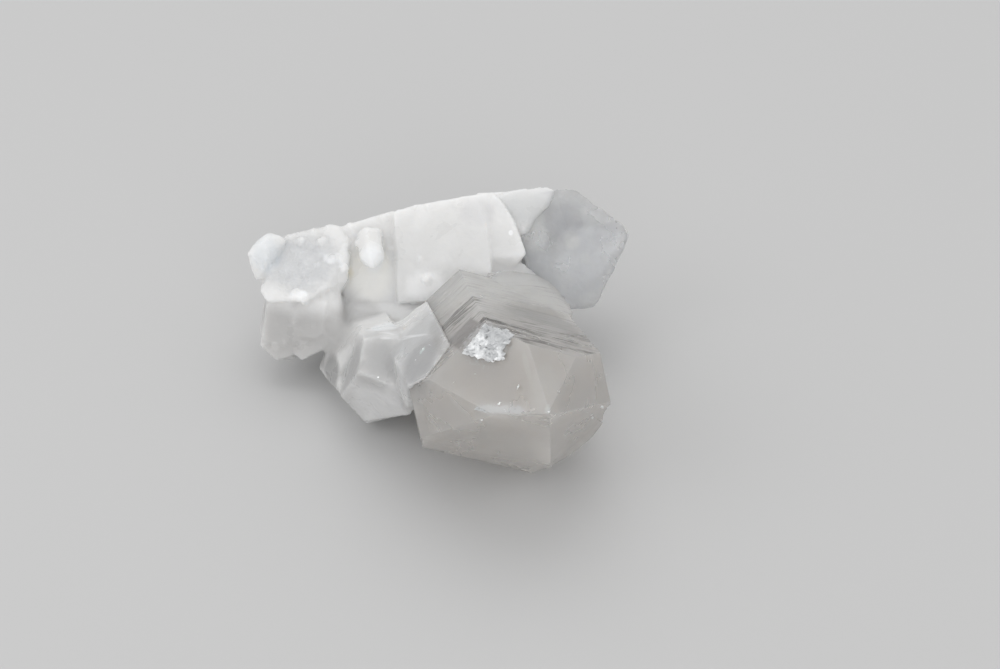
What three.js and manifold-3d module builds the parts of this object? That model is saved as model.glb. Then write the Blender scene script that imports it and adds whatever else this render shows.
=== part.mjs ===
// A quartz cluster: prismatic quartz crystals grown out of one milky, broken root.
// Millimetres and degrees, +Z up, resting on the broken underside at z = 0, origin under the middle.
import * as THREE from 'three';
import { ConvexGeometry } from 'three/addons/geometries/ConvexGeometry.js';
import { mergeVertices } from 'three/addons/utils/BufferGeometryUtils.js';
import Module from 'manifold-3d';

const pyramidTilt = 51.8; // angle between the crystal's long axis and the normal of a pyramid face
const sidesOfPrism = 6;
const mergeDistance = 1e-3; // corners closer than this are one corner

// Each crystal stands on an axis through `at`, pointing along heading (0 is +X, 90 is +Y) and rise.
// Its six prism faces follow one another every 60 degrees from `twist`, each its `prism` distance from
// the axis. Over each lies a pyramid face that crosses the axis its `tip` distance beyond `at`.
// `length` is how far the crystal runs back from `at` into the root. A cut is a broken or dissolved
// face: the heading and rise that it looks along, and a point on it.
const crystals = {
  front: {
    at: [17.7, -35.6, 27.1], heading: -80, rise: 19, twist: 21, length: 49,
    prism: [15.6, 19.1, 16.6, 15.2, 18.9, 16.9],
    tip: [14.7, 11.9, 3.9, -2.4, 6.3, 8.5],
    cuts: [{ heading: -8, rise: -30, through: [34.6, -20.0, 6.0] }], // knocked corner, low on the right
  },
  side: {
    at: [-9.9, -7.5, 15.2], heading: -79, rise: 23, twist: -6, length: 30,
    prism: [9.7, 8.5, 7.6, 9.7, 9.4, 7.2],
    tip: [7, 6, 5.4, 2.7, 3.7, 9.4],
    cuts: [],
  },
  lowerLeft: {
    at: [-34.6, 16.5, 7.0], heading: -113, rise: -66, twist: 8, length: 12.5,
    prism: [3.9, 4.0, 3.9, 3.9, 4.0, 4.3],
    tip: [3.6, 6.5, 6.5, 5.0, 3.4, 3.4],
    cuts: [{ heading: -20, rise: -70, through: [-33.3, 14.2, 4.8] }],
  },
  lowerRight: {
    at: [-27.2, 15.5, 8.2], heading: -106, rise: -62, twist: 4, length: 10.5,
    prism: [4.4, 4.6, 5.0, 5.0, 5.2, 4.8],
    tip: [3.4, 2.4, 2.4, 4.0, 5.0, 5.0],
    cuts: [],
  },
  right: {
    at: [26.9, 33.3, 19.4], heading: 22, rise: -10, twist: -39, length: 14,
    prism: [6.0, 14.4, 8.0, 6.0, 9.5, 14.7],
    tip: [20.0, 20.2, 13.2, 9.0, 13.9, 20.4],
    cuts: [
      { heading: -28, rise: 5, through: [40.0, 34.1, 21.6] }, // worn end, upper side
      { heading: -6, rise: -40, through: [40.2, 34.3, 20.8] }, // worn end, under side
    ],
  },
  sprout: {
    at: [-14.2, 22.2, 25.2], heading: -84, rise: -14, twist: 15, length: 8,
    prism: [2.3, 2.5, 2.5, 2.3, 2.5, 2.5],
    tip: [2, 2, 2, 2, 2, 2],
    cuts: [],
  },
};

// The milky root is a pile of broken blocks grown into each other. Each is the solid that just
// wraps its corners.
const blocks = {
  // the broken foot that the cluster rests on
  foot: [
    [-22, 18, 0], [-26, 28, 0], [-14, 36, 0], [16, 36, 0], [27, 26, 0], [24, 4, 0], [2, 4, 0],
    [-30, 30, 9], [-25, 35.5, 15], [-12, 38, 19], [13, 38.4, 20], [25, 35, 15], [28, 30, 10],
    [24, 14, 10], [-24, 20, 8],
  ],
  // frosted block over the two lower crystals
  frosted: [
    [-33.5, 29, 27], [-27.5, 31, 27.5], [-23, 32, 28], [-21.5, 31.5, 28], [-19.5, 28, 27],
    [-19.5, 24, 25], [-20, 20, 22], [-20.5, 19, 21.5], [-24, 17, 22], [-28, 15.5, 20],
    [-31, 16, 20.5], [-34.5, 18.5, 20.5], [-38, 21.5, 20], [-38, 18.5, 20], [-37, 16.5, 19],
    [-36.5, 27.5, 22], [-33, 36, 22], [-20, 38.7, 20], [-34, 33, 12], [-18, 34, 10],
    [-34, 22, 12], [-20, 22, 11],
  ],
  // rounded white lump at the left end
  lump: [
    [-36.5, 28, 29], [-33.5, 27, 28.5], [-39, 26, 28], [-41, 24, 26], [-39.5, 22.5, 23],
    [-39.5, 21.5, 20.5], [-38, 21.5, 20.5], [-36.5, 26, 22.5], [-34, 26.5, 25.5], [-32.5, 26.5, 27.5],
    [-37.5, 25, 29], [-36.5, 23.5, 27.5], [-37, 31, 26], [-38, 29, 21], [-34, 31, 24],
  ],
  // wall of the hollow that the small crystal stands in
  hollow: [
    [-21.5, 32, 27.5], [-15.5, 32.5, 28.5], [-10, 34, 30], [-9, 31, 22], [-9, 20.5, 16],
    [-20.5, 20.5, 16], [-20, 28, 19], [-20.5, 31.5, 23],
    [-20, 38.7, 22], [-8, 38.7, 24], [-20, 34, 8], [-8, 34, 8],
  ],
  // the big milky block in the middle
  middle: [
    [-10, 32.5, 31], [-6, 33.5, 32], [-2, 33.5, 32], [6.5, 34.5, 34], [11, 35.5, 34],
    [10, 27.5, 30.5], [11, 19, 25], [-9, 18.5, 18], [-9, 26, 25.5], [11, 16, 20],
    [-8, 38.7, 24], [12, 38.7, 26], [-8, 35, 8], [14, 35, 8],
  ],
  // thin wedge that leans from the middle block against the right crystal
  wedge: [
    [10.5, 35.5, 34], [11.5, 35, 34.5], [14, 31.5, 33.5], [16, 28.5, 31.5], [17, 24, 29.5],
    [18.5, 21.5, 28], [17.5, 21, 27.5], [10.5, 22.5, 26.5], [10, 28, 30],
    [10, 36, 26], [17, 32, 22], [16, 26, 20], [11, 22, 18],
  ],
  // pale face at the root of the right crystal
  shoulder: [
    [12, 35, 33], [13, 34.5, 34], [14, 35, 34.2], [16, 36, 34.5], [18.5, 37, 34.2], [23, 38.7, 33.6],
    [24.5, 38.5, 32.8], [22, 36, 32.1], [20.5, 34.5, 31.8], [19, 31.5, 30.6], [18, 28.5, 28.8],
    [14, 28, 27], [14, 38.7, 24], [26, 38.7, 26], [24, 28, 18], [15, 26, 20],
  ],
  // floor of the nook under the wedge
  nook: [
    [10, 23, 25.5], [17.8, 22.5, 24.8], [21.4, 21.5, 22], [17, 16.5, 20.5], [9, 16.5, 21],
    [12, 26, 14], [22, 24, 14], [18, 15, 14], [9, 15, 14],
  ],
  // step under the hollow and the middle block
  step: [
    [-23.5, 21, 17], [-20, 19, 17], [-9, 19, 17], [-2.5, 18.5, 17], [-2, 13, 14], [-6.5, 13, 14],
    [-12.5, 12.5, 13], [-19, 13.5, 11], [-24.5, 19.5, 14],
    [-22, 24, 6], [0, 24, 6], [-18, 16, 6], [0, 14, 8],
  ],
  // flat growth between the front and side crystals
  saddle: [
    [-2.5, 11.5, 23], [-3.5, 5.5, 23.5], [-2, -1, 26], [0, -8, 29.5], [3, -16.5, 33.5],
    [-2, -23.5, 30.5], [-5, -22, 27.5], [-6.5, -15, 25.5], [-8.5, -5.5, 22], [-13, 8.5, 15.5],
    [-11.5, 10.5, 16], [-6, 1.5, 23], [1, 13, 16], [3, 0, 16], [3, -16, 22], [-8, 12, 10],
  ],
  // thin sliver along the left of the side crystal
  sliver: [
    [-20, -2, 8.5], [-23.5, 5, 6.5], [-26, 11.5, 5], [-25, 15, 6.5], [-22.5, 13, 9], [-21, 7, 10],
    [-21, 1, 9.5], [-18, 14, 4], [-17, 4, 4], [-16, 8, 12],
  ],
};

// Chips that were knocked out, each also wrapped round its corners.
const chips = {
  // right corner of the front crystal
  corner: [
    [33.5, -20, 20.3], [33.5, -18.6, 15], [33.8, -17, 19], [33.8, -16, 15],
    [36, -25, 22], [36, -24, 12], [36, -14, 21.5], [36, -13, 14],
  ],
};

function direction(heading, rise) {
  const h = THREE.MathUtils.degToRad(heading);
  const r = THREE.MathUtils.degToRad(rise);
  return new THREE.Vector3(Math.cos(r) * Math.cos(h), Math.cos(r) * Math.sin(h), Math.sin(r));
}

// The flat faces of one crystal, each a plane looking outward.
function facesOf({ at, heading, rise, twist, prism, tip, length, cuts }) {
  const foot = new THREE.Vector3(...at);
  const axis = direction(heading, rise);
  const up = new THREE.Vector3(0, 0, 1).projectOnPlane(axis).normalize();
  const side = new THREE.Vector3().crossVectors(up, axis);
  const tilt = THREE.MathUtils.degToRad(pyramidTilt);
  const plane = (normal, point) => new THREE.Plane().setFromNormalAndCoplanarPoint(normal, point);

  const faces = [plane(axis.clone().negate(), foot.clone().addScaledVector(axis, -length))];
  for (let i = 0; i < sidesOfPrism; i++) {
    const turn = THREE.MathUtils.degToRad(twist + (360 / sidesOfPrism) * i);
    const outward = up.clone().multiplyScalar(Math.cos(turn)).addScaledVector(side, Math.sin(turn));
    const slope = outward.clone().multiplyScalar(Math.sin(tilt)).addScaledVector(axis, Math.cos(tilt));
    faces.push(plane(outward, foot.clone().addScaledVector(outward, prism[i])));
    faces.push(plane(slope, foot.clone().addScaledVector(axis, tip[i])));
  }
  for (const cut of cuts) {
    faces.push(plane(direction(cut.heading, cut.rise), new THREE.Vector3(...cut.through)));
  }
  return faces;
}

// The corners of the solid that lies behind every one of the faces.
function cornersOf(faces) {
  const corners = [];
  for (let i = 0; i < faces.length; i++) {
    for (let j = i + 1; j < faces.length; j++) {
      for (let k = j + 1; k < faces.length; k++) {
        const corner = meetingPoint(faces[i], faces[j], faces[k]);
        if (corner === null) continue;
        if (faces.some((face) => face.distanceToPoint(corner) > mergeDistance)) continue;
        if (corners.some((other) => other.distanceTo(corner) < mergeDistance)) continue;
        corners.push(corner);
      }
    }
  }
  return corners;
}

function meetingPoint(a, b, c) {
  const bc = new THREE.Vector3().crossVectors(b.normal, c.normal);
  const ca = new THREE.Vector3().crossVectors(c.normal, a.normal);
  const ab = new THREE.Vector3().crossVectors(a.normal, b.normal);
  const spread = a.normal.dot(bc);
  if (Math.abs(spread) < 1e-6) return null;
  return bc.multiplyScalar(-a.constant)
    .addScaledVector(ca, -b.constant)
    .addScaledVector(ab, -c.constant)
    .divideScalar(spread);
}

const wasm = await Module();
wasm.setup();

function solidFrom(geometry) {
  const bare = geometry.clone();
  bare.deleteAttribute('normal');
  bare.deleteAttribute('uv');
  const merged = mergeVertices(bare, mergeDistance);
  return new wasm.Manifold(new wasm.Mesh({
    numProp: 3,
    vertProperties: new Float32Array(merged.attributes.position.array),
    triVerts: new Uint32Array(merged.index.array),
  }));
}

function geometryFrom(solid) {
  const mesh = solid.getMesh();
  const geometry = new THREE.BufferGeometry();
  geometry.setAttribute('position', new THREE.BufferAttribute(mesh.vertProperties, 3));
  geometry.setIndex(new THREE.BufferAttribute(mesh.triVerts, 1));
  return geometry;
}

function wrap(corners) {
  return solidFrom(new ConvexGeometry(corners));
}

function wrapAll(lists) {
  return Object.values(lists).map((corners) => wrap(corners.map((corner) => new THREE.Vector3(...corner))));
}

// Everything below the resting surface is broken away.
const groundSize = 200;
const ground = new THREE.BoxGeometry(groundSize, groundSize, groundSize);
ground.translate(0, 0, -groundSize / 2);

function growCluster() {
  const grown = [
    ...wrapAll(blocks),
    ...Object.values(crystals).map((crystal) => wrap(cornersOf(facesOf(crystal)))),
  ].reduce((whole, piece) => whole.add(piece));
  const worn = [...wrapAll(chips), solidFrom(ground)].reduce((whole, lost) => whole.subtract(lost), grown);

  const geometry = geometryFrom(worn);
  geometry.computeBoundingBox();
  const middle = geometry.boundingBox.getCenter(new THREE.Vector3());
  return geometry.translate(-middle.x, -middle.y, 0);
}

const quartz = new THREE.MeshStandardMaterial({ color: 0xd6d5d4, roughness: 0.25, metalness: 0 });

const cluster = new THREE.Mesh(growCluster(), quartz);
cluster.name = 'quartz_cluster';

const group = new THREE.Group();
group.add(cluster);

export default group;
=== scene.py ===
import math
import random
import bpy
from mathutils import Matrix, Vector


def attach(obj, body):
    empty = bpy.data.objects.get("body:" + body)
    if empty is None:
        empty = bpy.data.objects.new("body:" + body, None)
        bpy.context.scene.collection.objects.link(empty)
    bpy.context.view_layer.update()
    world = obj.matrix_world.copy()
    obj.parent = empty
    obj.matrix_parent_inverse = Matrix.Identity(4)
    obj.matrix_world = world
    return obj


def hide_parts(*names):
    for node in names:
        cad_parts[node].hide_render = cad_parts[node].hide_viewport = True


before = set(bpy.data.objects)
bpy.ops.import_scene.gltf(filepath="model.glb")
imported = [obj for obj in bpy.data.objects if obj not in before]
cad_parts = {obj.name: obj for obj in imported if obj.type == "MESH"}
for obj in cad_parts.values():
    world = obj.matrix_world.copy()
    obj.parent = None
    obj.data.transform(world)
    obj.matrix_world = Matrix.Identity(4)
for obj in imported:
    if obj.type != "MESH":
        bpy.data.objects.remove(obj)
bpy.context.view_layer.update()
bpy.ops.object.select_all(action="DESELECT")
print("frame loaded")

mm = 0.001
cutTolerance = 0.000001  # how near to a cutting plane a corner counts as on it, in m
fullTurn = 6.283
offset = Vector((-0.0793, -1.5838, 0.0))  # added to each place given below to reach the frame, in mm
pyramidTilt = math.radians(51.8)  # long axis to the normal of a pyramid face
upward = Vector((0, 0, 1))
node = "quartz_cluster"


def inFrame(point):
    return (Vector(point) + offset) * mm


def direction(heading, rise):
    h, r = math.radians(heading), math.radians(rise)
    return Vector((math.cos(r) * math.cos(h), math.cos(r) * math.sin(h), math.sin(r)))


# camera

view = {"place": (12.9, -372.3, 313.9), "tiltDown": 38.0, "lens": 82.8}  # mm, degrees and mm

lookUp = math.radians(90 - view["tiltDown"])  # a camera with no turn looks straight down
bpy.ops.object.camera_add(location=inFrame(view["place"]), rotation=(lookUp, 0, 0))
camera = bpy.context.object
camera.data.lens = view["lens"]
camera.data.clip_start = 0.01
bpy.context.scene.camera = camera
print("camera placed")


# shader groups

def newGroup(name, inputs, outputs):
    tree = bpy.data.node_groups.new(name, "ShaderNodeTree")
    for socketName, kind, value in inputs:
        socket = tree.interface.new_socket(name=socketName, in_out="INPUT", socket_type="NodeSocket" + kind)
        socket.default_value = value
    for socketName in outputs:
        tree.interface.new_socket(name=socketName, in_out="OUTPUT", socket_type="NodeSocketFloat")
    return tree, tree.nodes.new("NodeGroupInput").outputs, tree.nodes.new("NodeGroupOutput").inputs


def feed(tree, socket, value):
    # a socket takes a number, a colour or another node's output
    if isinstance(value, bpy.types.NodeSocket):
        tree.links.new(value, socket)
    elif value is not None:
        socket.default_value = value


def maths(tree, operation, a, b=None, c=None):
    n = tree.nodes.new("ShaderNodeMath")
    n.operation = operation
    for socket, value in zip(n.inputs, (a, b, c)):
        feed(tree, socket, value)
    return n.outputs[0]


def vectors(tree, operation, a, b=None, scale=None):
    n = tree.nodes.new("ShaderNodeVectorMath")
    n.operation = operation
    feed(tree, n.inputs[0], a)
    feed(tree, n.inputs[1], b)
    if operation == "SCALE":
        feed(tree, n.inputs["Scale"], scale)
    return n.outputs["Value"] if operation in ("DOT_PRODUCT", "LENGTH") else n.outputs[0]


def smooth(tree, value, low, high):
    # 0 at low, 1 at high and a smooth rise between them
    n = tree.nodes.new("ShaderNodeMapRange")
    n.interpolation_type = "SMOOTHSTEP"
    feed(tree, n.inputs["Value"], value)
    feed(tree, n.inputs["From Min"], low)
    feed(tree, n.inputs["From Max"], high)
    return n.outputs["Result"]


def atLeast(tree, value, least):
    # lift a mask, so that it runs from a least share to 1
    return maths(tree, "MULTIPLY_ADD", value, 1 - least, least)


def noise(tree, vector, scale, detail=3.0, roughness=0.55, distortion=0.0):
    n = tree.nodes.new("ShaderNodeTexNoise")
    feed(tree, n.inputs["Vector"], vector)
    feed(tree, n.inputs["Scale"], scale)
    feed(tree, n.inputs["Detail"], detail)
    feed(tree, n.inputs["Roughness"], roughness)
    feed(tree, n.inputs["Distortion"], distortion)
    return n.outputs["Fac"]


def blend(tree, amount, a, b):
    # mix two colours
    n = tree.nodes.new("ShaderNodeMix")
    n.data_type = "RGBA"
    feed(tree, n.inputs["Factor"], amount)
    feed(tree, n.inputs[6], a)
    feed(tree, n.inputs[7], b)
    return n.outputs[2]


def makeMilkiness():
    # how milky the quartz is, growing towards the back and the top, where all the crystals are rooted
    tree, given, out = newGroup(
        "milkiness",
        [("Position", "Vector", (0, 0, 0)), ("Low", "Float", 10.0), ("High", "Float", 34.0)],
        ["Milk"],
    )
    backAndUp = (0, 800, 600)  # the direction (0, 0.8, 0.6), scaled to turn metres into mm
    depth = vectors(tree, "DOT_PRODUCT", given["Position"], backAndUp)
    swirl = 10.0  # how far the cloudy edge wanders, in mm
    stir = maths(tree, "MULTIPLY_ADD", noise(tree, given["Position"], 90.0, 3.0), swirl, -swirl / 2)
    feed(tree, out["Milk"], smooth(tree, maths(tree, "ADD", depth, stir), given["Low"], given["High"]))
    return tree


def makeGrowthLines():
    # strokes that run across a prism face, square to the crystal's long axis, and thin out towards its root
    tree, given, out = newGroup(
        "growthLines",
        [("Position", "Vector", (0, 0, 0)), ("Normal", "Vector", (0, 0, 1)), ("Axis", "Vector", (0, 0, 1)),
         ("Along", "Float", 500.0), ("Across", "Float", 45.0), ("Start", "Float", 0.02),
         ("Full", "Float", 0.03)],
        ["Lines", "Zone"],
    )
    position, axis = given["Position"], given["Axis"]
    depth = vectors(tree, "DOT_PRODUCT", position, axis)
    wavering = depth
    for fineness, reach in ((110.0, 0.0024), (380.0, 0.0011)):
        wavering = maths(tree, "MULTIPLY_ADD", noise(tree, position, fineness, 2.0), reach, wavering)
    stretch = maths(tree, "MULTIPLY", wavering, given["Along"])
    flat = vectors(tree, "SCALE", position, scale=given["Across"])
    drawn = vectors(tree, "ADD", flat, vectors(tree, "SCALE", axis, scale=stretch))
    feed(tree, out["Lines"], noise(tree, drawn, 1.0, 3.0, 0.6))
    lean = maths(tree, "ABSOLUTE", vectors(tree, "DOT_PRODUCT", given["Normal"], axis))
    prism = maths(tree, "SUBTRACT", 1.0, smooth(tree, lean, 0.12, 0.42))  # not on the pyramid faces
    patchy = smooth(tree, noise(tree, position, 160.0, 2.0), 0.3, 0.62)
    faint = 0.25  # what is left of the strokes near the root and on faces that look down
    near = atLeast(tree, smooth(tree, depth, given["Start"], given["Full"]), faint)
    tilted = vectors(tree, "DOT_PRODUCT", given["Normal"], (0, 0, 1))
    upper = atLeast(tree, smooth(tree, tilted, 0.2, 0.6), faint)
    strength = maths(tree, "MULTIPLY", maths(tree, "MULTIPLY", near, patchy), upper)
    feed(tree, out["Zone"], maths(tree, "MULTIPLY", prism, strength))
    return tree


def makeMark():
    # a ragged patch or stroke round one place, long, wide and deep along three directions
    tree, given, out = newGroup(
        "mark",
        [("Position", "Vector", (0, 0, 0)), ("Centre", "Vector", (0, 0, 0)), ("Along", "Vector", (100, 0, 0)),
         ("Across", "Vector", (0, 100, 0)), ("Deep", "Vector", (0, 0, 100)), ("Ragged", "Float", 0.6),
         ("Scale", "Float", 500.0), ("Square", "Float", 0.0)],
        ["Mask"],
    )
    away = vectors(tree, "SUBTRACT", given["Position"], given["Centre"])
    joined = tree.nodes.new("ShaderNodeCombineXYZ")
    for socket, name in zip(joined.inputs, ("Along", "Across", "Deep")):
        feed(tree, socket, vectors(tree, "DOT_PRODUCT", away, given[name]))
    parts = tree.nodes.new("ShaderNodeSeparateXYZ")
    feed(tree, parts.inputs[0], vectors(tree, "ABSOLUTE", joined.outputs[0]))
    wider = maths(tree, "MAXIMUM", parts.outputs[0], parts.outputs[1])
    widest = maths(tree, "MAXIMUM", wider, parts.outputs[2])
    length = vectors(tree, "LENGTH", joined.outputs[0])
    cornered = maths(tree, "MULTIPLY", maths(tree, "SUBTRACT", widest, length), given["Square"])
    far = maths(tree, "ADD", length, cornered)
    stir = maths(tree, "SUBTRACT", noise(tree, given["Position"], given["Scale"], 4.0, 0.65), 0.5)
    edge = maths(tree, "MULTIPLY_ADD", stir, given["Ragged"], far)
    full, gone = 0.55, 1.05  # shares of the reach
    feed(tree, out["Mask"], maths(tree, "SUBTRACT", 1.0, smooth(tree, edge, full, gone)))
    return tree


def makeSpecks():
    # a few bright points, each in its own cell
    tree, given, out = newGroup(
        "specks",
        [("Position", "Vector", (0, 0, 0)), ("Scale", "Float", 300.0), ("Size", "Float", 0.1),
         ("Share", "Float", 0.2)],
        ["Mask"],
    )
    cells = tree.nodes.new("ShaderNodeTexVoronoi")
    feed(tree, cells.inputs["Vector"], given["Position"])
    feed(tree, cells.inputs["Scale"], given["Scale"])
    pick = tree.nodes.new("ShaderNodeSeparateColor")
    feed(tree, pick.inputs[0], cells.outputs["Color"])
    near = maths(tree, "LESS_THAN", cells.outputs["Distance"], given["Size"])
    chosen = maths(tree, "LESS_THAN", pick.outputs[0], given["Share"])
    feed(tree, out["Mask"], maths(tree, "MULTIPLY", near, chosen))
    return tree


milkiness, growthLines, mark, specks = makeMilkiness(), makeGrowthLines(), makeMark(), makeSpecks()


def use(tree, group, **values):
    # place a group in a material, with its inputs by name
    n = tree.nodes.new("ShaderNodeGroup")
    n.node_tree = group
    for socketName, value in values.items():
        feed(tree, n.inputs[socketName.capitalize()], value)
    return n.outputs


brightSpeck = (0.93, 0.94, 0.95, 1)
quartzIor = 1.544
hazeEdges = (0.36, 0.68)  # noise values where the quartz turns from clear to cloudy
darkEdges, brightEdges = (0.5, 0.6), (0.47, 0.38)  # and where the growth lines turn dark and bright
crowding = 8.0  # how fast a crowded place fills with lines


def quartz(name, look):
    # one quartz finish: look says how clear, how cloudy, how lined and how marked it is
    # gloss and frosted are the roughness of clear and of cloudy places, glow is how far light spreads
    # inside in mm, and soak and density are the colour and the strength of the absorption
    material = bpy.data.materials.new(name)
    material.use_nodes = True
    tree = material.node_tree
    shader = tree.nodes["Principled BSDF"]
    place = tree.nodes.new("ShaderNodeTexCoord").outputs["Object"]
    facing = tree.nodes.new("ShaderNodeNewGeometry").outputs["True Normal"]

    haze = smooth(tree, noise(tree, place, look["hazeScale"], 4.0, 0.6, 0.3), *hazeEdges)
    colour = blend(tree, maths(tree, "MULTIPLY", haze, look["haze"]), look["clear"], look["cloudy"])
    if "milk" in look:
        milk = use(tree, milkiness, position=place, low=look["milk"][0], high=look["milk"][1])["Milk"]
        colour = blend(tree, milk, colour, look["rooted"])
    height = maths(tree, "MULTIPLY", noise(tree, place, look["grainScale"], 4.0, 0.65), look["grain"])
    if "axis" in look:
        lined = use(tree, growthLines, position=place, normal=facing, axis=look["axis"], along=look["along"],
                    across=look["across"], start=look["linesFrom"][0], full=look["linesFrom"][1])
        push = 0.0
        for shape, amount, ragged, fineness in look["crowdedLines"].values():
            mask = use(tree, mark, position=place, ragged=ragged, scale=fineness, **shape)["Mask"]
            push = maths(tree, "MULTIPLY_ADD", mask, amount, push)
        zone = maths(tree, "MINIMUM", maths(tree, "MULTIPLY_ADD", push, crowding, lined["Zone"]), 1.0)
        crowded = maths(tree, "ADD", lined["Lines"], push)
        dark = maths(tree, "MULTIPLY", smooth(tree, crowded, *darkEdges), zone)
        bright = maths(tree, "MULTIPLY", smooth(tree, lined["Lines"], *brightEdges), lined["Zone"])
        colour = blend(tree, maths(tree, "MULTIPLY", dark, look["darkLines"]), colour, look["lineColour"])
        colour = blend(tree, maths(tree, "MULTIPLY", bright, look["brightLines"]), colour, look["rooted"])
        relief = maths(tree, "MULTIPLY", lined["Lines"], lined["Zone"])
        height = maths(tree, "ADD", height, maths(tree, "MULTIPLY", relief, look["relief"]))
    if "frostZone" in look:
        shape, amount = look["frostZone"]
        crust = use(tree, mark, position=place, ragged=0.5, scale=300.0, **shape)["Mask"]
        crumb = maths(tree, "MULTIPLY", crust, noise(tree, place, 750.0, 3.0, 0.6))
        height = maths(tree, "MULTIPLY_ADD", crumb, amount, height)
    for shape, strength, tint, ragged, fineness in look.get("marks", {}).values():
        mask = use(tree, mark, position=place, ragged=ragged, scale=fineness, **shape)["Mask"]
        colour = blend(tree, maths(tree, "MULTIPLY", mask, strength), colour, tint)
    scale, size, share = look["specks"]
    bits = use(tree, specks, position=place, scale=scale, size=size, share=share)["Mask"]
    colour = blend(tree, bits, colour, brightSpeck)

    feed(tree, shader.inputs["Base Color"], colour)
    rough = tree.nodes.new("ShaderNodeMapRange")
    feed(tree, rough.inputs["Value"], haze)
    feed(tree, rough.inputs["To Min"], look["gloss"])
    feed(tree, rough.inputs["To Max"], look["frosted"])
    feed(tree, shader.inputs["Roughness"], rough.outputs["Result"])
    bump = tree.nodes.new("ShaderNodeBump")
    bump.inputs["Strength"].default_value = 1.0
    bump.inputs["Distance"].default_value = mm
    feed(tree, bump.inputs["Height"], height)
    feed(tree, shader.inputs["Normal"], bump.outputs["Normal"])
    shader.inputs["IOR"].default_value = quartzIor
    shader.inputs["Transmission Weight"].default_value = look["clarity"]
    if look["glow"] > 0:
        shader.inputs["Subsurface Weight"].default_value = 1.0
        shader.inputs["Subsurface Radius"].default_value = (1.0, 0.97, 0.93)
        shader.inputs["Subsurface Scale"].default_value = look["glow"] * mm
    if "soak" in look:
        soak = tree.nodes.new("ShaderNodeVolumeAbsorption")
        soak.inputs["Color"].default_value = look["soak"]
        soak.inputs["Density"].default_value = look["density"]
        tree.links.new(soak.outputs[0], tree.nodes["Material Output"].inputs["Volume"])
    return material


# modelling by hand

def startAt(name, place):
    # a single point, ready to be drawn out in edit mode
    bpy.ops.object.select_all(action="DESELECT")
    bpy.ops.mesh.primitive_plane_add(size=0.0001, location=place)
    piece = bpy.context.object
    piece.name = name
    bpy.ops.object.transform_apply(location=True, rotation=True, scale=True)
    bpy.ops.object.mode_set(mode="EDIT")
    bpy.ops.mesh.merge(type="CENTER")
    return piece


def drawChain(places):
    # draw the point on through the other places, and select the whole chain
    for before, after in zip(places, places[1:]):
        bpy.ops.mesh.extrude_vertices_move(TRANSFORM_OT_translate={"value": after - before})
    bpy.ops.mesh.select_all(action="SELECT")


def wrapCorners(name, corners):
    # draw the corners as one chain, then wrap them tightly
    places = [inFrame(corner) for corner in corners]
    piece = startAt(name, places[0])
    drawChain(places)
    bpy.ops.mesh.convex_hull()
    bpy.ops.mesh.normals_make_consistent(inside=False)
    bpy.ops.object.mode_set(mode="OBJECT")
    return piece


def cleave(point, normal):
    # cut away all that lies beyond a plane, and close the cut
    bpy.ops.mesh.select_all(action="SELECT")
    bpy.ops.mesh.bisect(plane_co=point, plane_no=normal, use_fill=True, clear_outer=True,
                        threshold=cutTolerance)


def pickOnly(piece):
    # the one selected and active piece
    bpy.ops.object.select_all(action="DESELECT")
    piece.select_set(True)
    bpy.context.view_layer.objects.active = piece


def finishWith(piece, kind, **settings):
    # add a modifier and apply it
    pickOnly(piece)
    modifier = piece.modifiers.new(kind.lower(), kind)
    for setting, value in settings.items():
        setattr(modifier, setting, value)
    bpy.ops.object.modifier_apply(modifier=modifier.name)


def joinAll(pieces, name):
    # make one piece of several, which keep their own shapes
    pickOnly(pieces[0])
    for piece in pieces:
        piece.select_set(True)
    bpy.ops.object.join()
    pieces[0].name = name
    return pieces[0]


def flattenFoot(piece):
    # cut away what lies below the surface that the cluster rests on
    pickOnly(piece)
    bpy.ops.object.mode_set(mode="EDIT")
    cleave((0, 0, 0), (0, 0, -1))
    bpy.ops.object.mode_set(mode="OBJECT")


def melt(piece, spots):
    # soften the skin round a few places: each has a place and a reach in mm
    pickOnly(piece)
    near = [(inFrame(place), reach * mm) for place, reach in spots]
    for part in (piece.data.polygons, piece.data.edges):
        part.foreach_set("select", [False] * len(part))
    for vertex in piece.data.vertices:
        vertex.select = any((vertex.co - place).length < reach for place, reach in near)
    bpy.ops.object.mode_set(mode="EDIT")
    bpy.ops.mesh.vertices_smooth(factor=0.5, repeat=40)
    bpy.ops.mesh.select_all(action="DESELECT")
    bpy.ops.object.mode_set(mode="OBJECT")


def weather(piece, voxel, rough, roughSize, rounds, soft=()):
    # fuse overlapping blocks into one skin, soften it and roughen it
    finishWith(piece, "REMESH", mode="VOXEL", voxel_size=voxel * mm)
    finishWith(piece, "SMOOTH", factor=0.5, iterations=rounds)
    if soft:
        melt(piece, soft)
    clouds = bpy.data.textures.new(piece.name + "Clouds", "CLOUDS")
    clouds.noise_scale = roughSize * mm
    clouds.noise_depth = 3
    finishWith(piece, "DISPLACE", texture=clouds, texture_coords="LOCAL", strength=rough * mm, mid_level=0.4)


def settle(piece, materials):
    # give a finished piece its materials, hang it under the root body and hide the frame's part
    piece.data.materials.clear()
    for material in materials:
        piece.data.materials.append(material)
    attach(piece, "root")
    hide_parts(node)
    bpy.ops.object.select_all(action="DESELECT")
    low = min(vertex.co.z for vertex in piece.data.vertices)
    print(piece.name, "done,", len(piece.data.polygons), "faces, lowest", round(low / mm, 3))


# crystals
# A crystal has a place on its long axis, the axis by heading and rise in degrees, and a twist about it.
# Its six prism faces are given by their distance from the axis, and its six pyramid faces by how far
# beyond the place they meet the axis, all in mm. A cut is a heading, a rise and a point on it.

blankSize = 0.13  # the cube that a crystal is cut from, in m


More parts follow.
